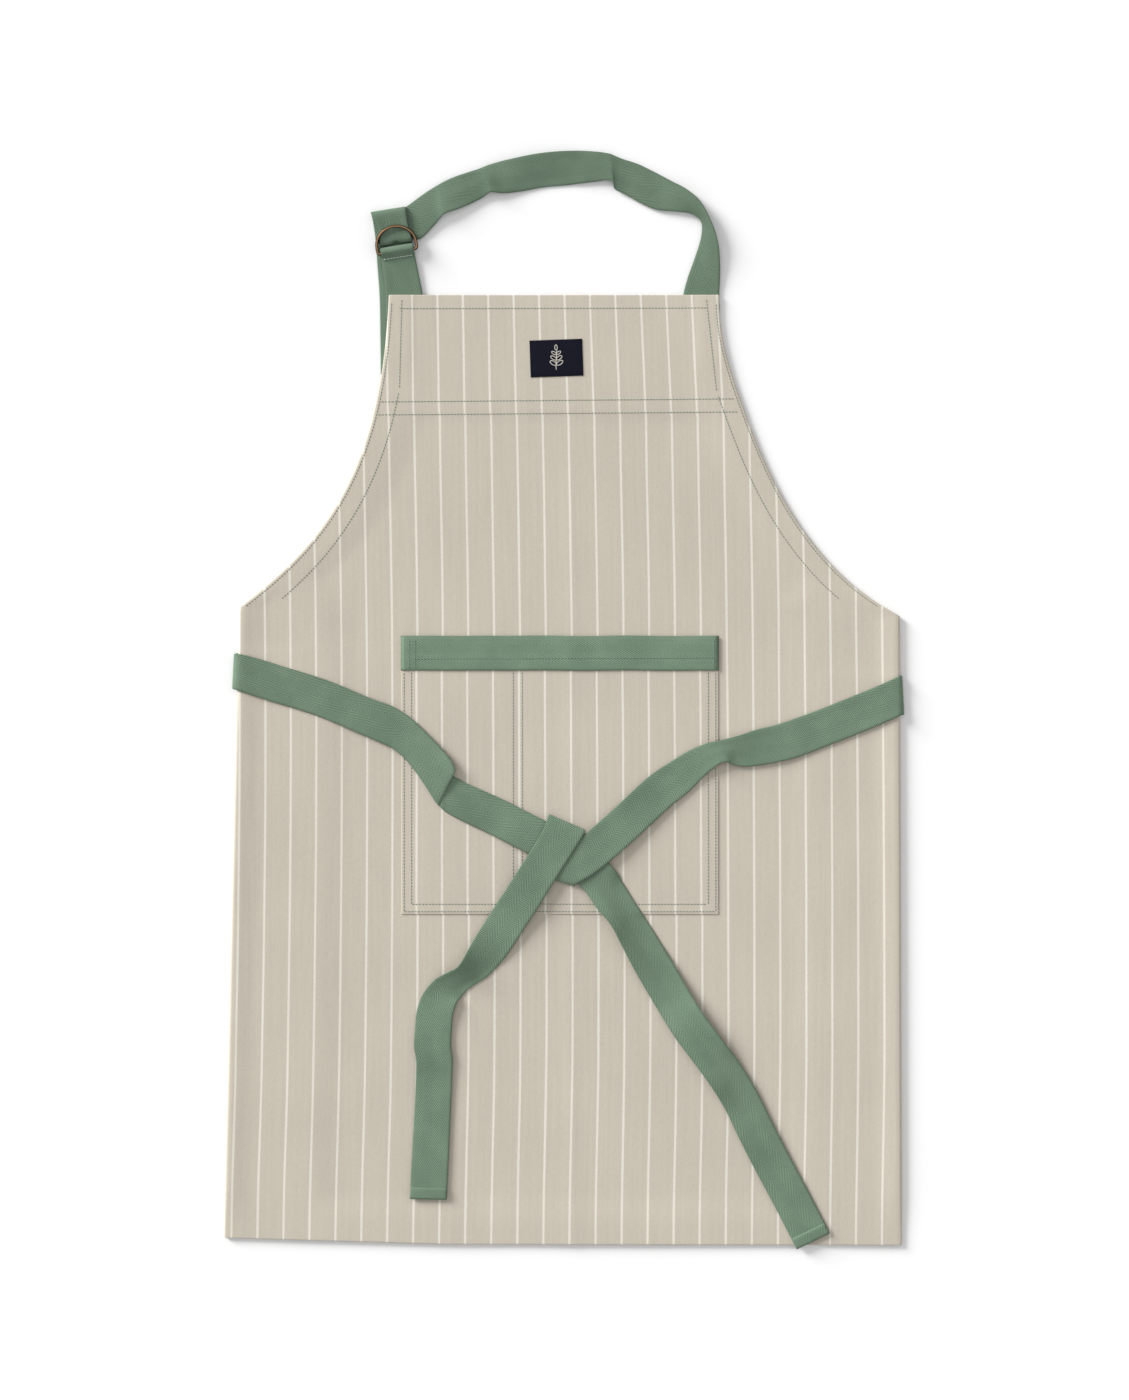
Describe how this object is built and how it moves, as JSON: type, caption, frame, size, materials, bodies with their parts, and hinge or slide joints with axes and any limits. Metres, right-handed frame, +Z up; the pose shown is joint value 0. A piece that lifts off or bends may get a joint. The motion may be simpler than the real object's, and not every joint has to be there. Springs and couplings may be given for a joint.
{
  "type": "bib apron",
  "caption": "Striped cotton bib apron laid flat, with a divided front pocket, webbing neck strap on D-rings, and waist ties knotted over the front.",
  "frame": {"origin": "on the surface that the apron lies on, under the middle of its outline with the straps", "axes": "+Z up out of the front cloth, +Y from the hem towards the neck, +X to the right as the front is looked at"},
  "size_m": [0.6443, 1.0411, 0.0098],
  "materials": {
    "canvas": "greige cotton canvas, plain weave, with fine cream stripes woven lengthwise",
    "webbing": "sage green cotton webbing, 35 mm wide, herringbone weave",
    "thread": "sage grey sewing thread",
    "label": "navy damask-woven label with a plain woven leaf sprig",
    "ring_wire": "antiqued brass wire, dark in the hollows"
  },
  "bodies": {
    "skirt": {"skirt_panel": "canvas", "side_flap_left": "canvas", "side_flap_right": "canvas", "side_hem_left": "canvas", "side_hem_right": "canvas", "bottom_hem": "canvas", "pocket_panel": "canvas", "pocket_binding": "webbing", "pocket_stitching": "thread", "binding_stitching": "thread", "waist_tie_left": "webbing", "waist_tie_right": "webbing"},
    "bib": {"bib_panel": "canvas", "bib_yoke": "canvas", "bib_facing": "canvas", "armhole_hem_left": "canvas", "armhole_hem_right": "canvas", "woven_label": "label", "label_stitching": "thread", "bib_stitching": "thread", "ring_tab_root": "webbing", "neck_strap_root": "webbing", "neck_strap_tail": "webbing"},
    "neck_loop": {"neck_strap": "webbing", "neck_strap_turn": "webbing", "ring_tab": "webbing", "tab_stitching": "thread", "d_ring_lower": "ring_wire"},
    "upper_ring": {"d_ring_upper": "ring_wire"},
    "tie_end_left": {"tie_end_left": "webbing", "tie_end_hem_left": "webbing"},
    "tie_end_right": {"tie_end_right": "webbing", "tie_end_hem_right": "webbing"}
  },
  "joints": [
    {"name": "bib_fold", "type": "hinge", "parent": "skirt", "child": "bib", "pos_m": [0, 0.105, 0.0032], "axis": [1, 0, 0], "range_deg": [0, 135]},
    {"name": "neck_loop_lift", "type": "hinge", "parent": "bib", "child": "neck_loop", "pos_m": [0, 0.3842, 0.0032], "axis": [1, 0, 0], "range_deg": [0, 120]},
    {"name": "upper_ring_swing", "type": "hinge", "parent": "neck_loop", "child": "upper_ring", "pos_m": [-0.15749, 0.42499, 0.0061], "axis": [0.9877, 0.1564, 0], "range_deg": [0, 75]},
    {"name": "tie_end_left_lift", "type": "hinge", "parent": "skirt", "child": "tie_end_left", "pos_m": [-0.0422, -0.192, 0.0092], "axis": [-0.848, 0.5299, 0], "range_deg": [0, 100]},
    {"name": "tie_end_right_lift", "type": "hinge", "parent": "skirt", "child": "tie_end_right", "pos_m": [0.034, -0.1685, 0.0068], "axis": [-0.8192, -0.5736, 0], "range_deg": [0, 100]}
  ]
}
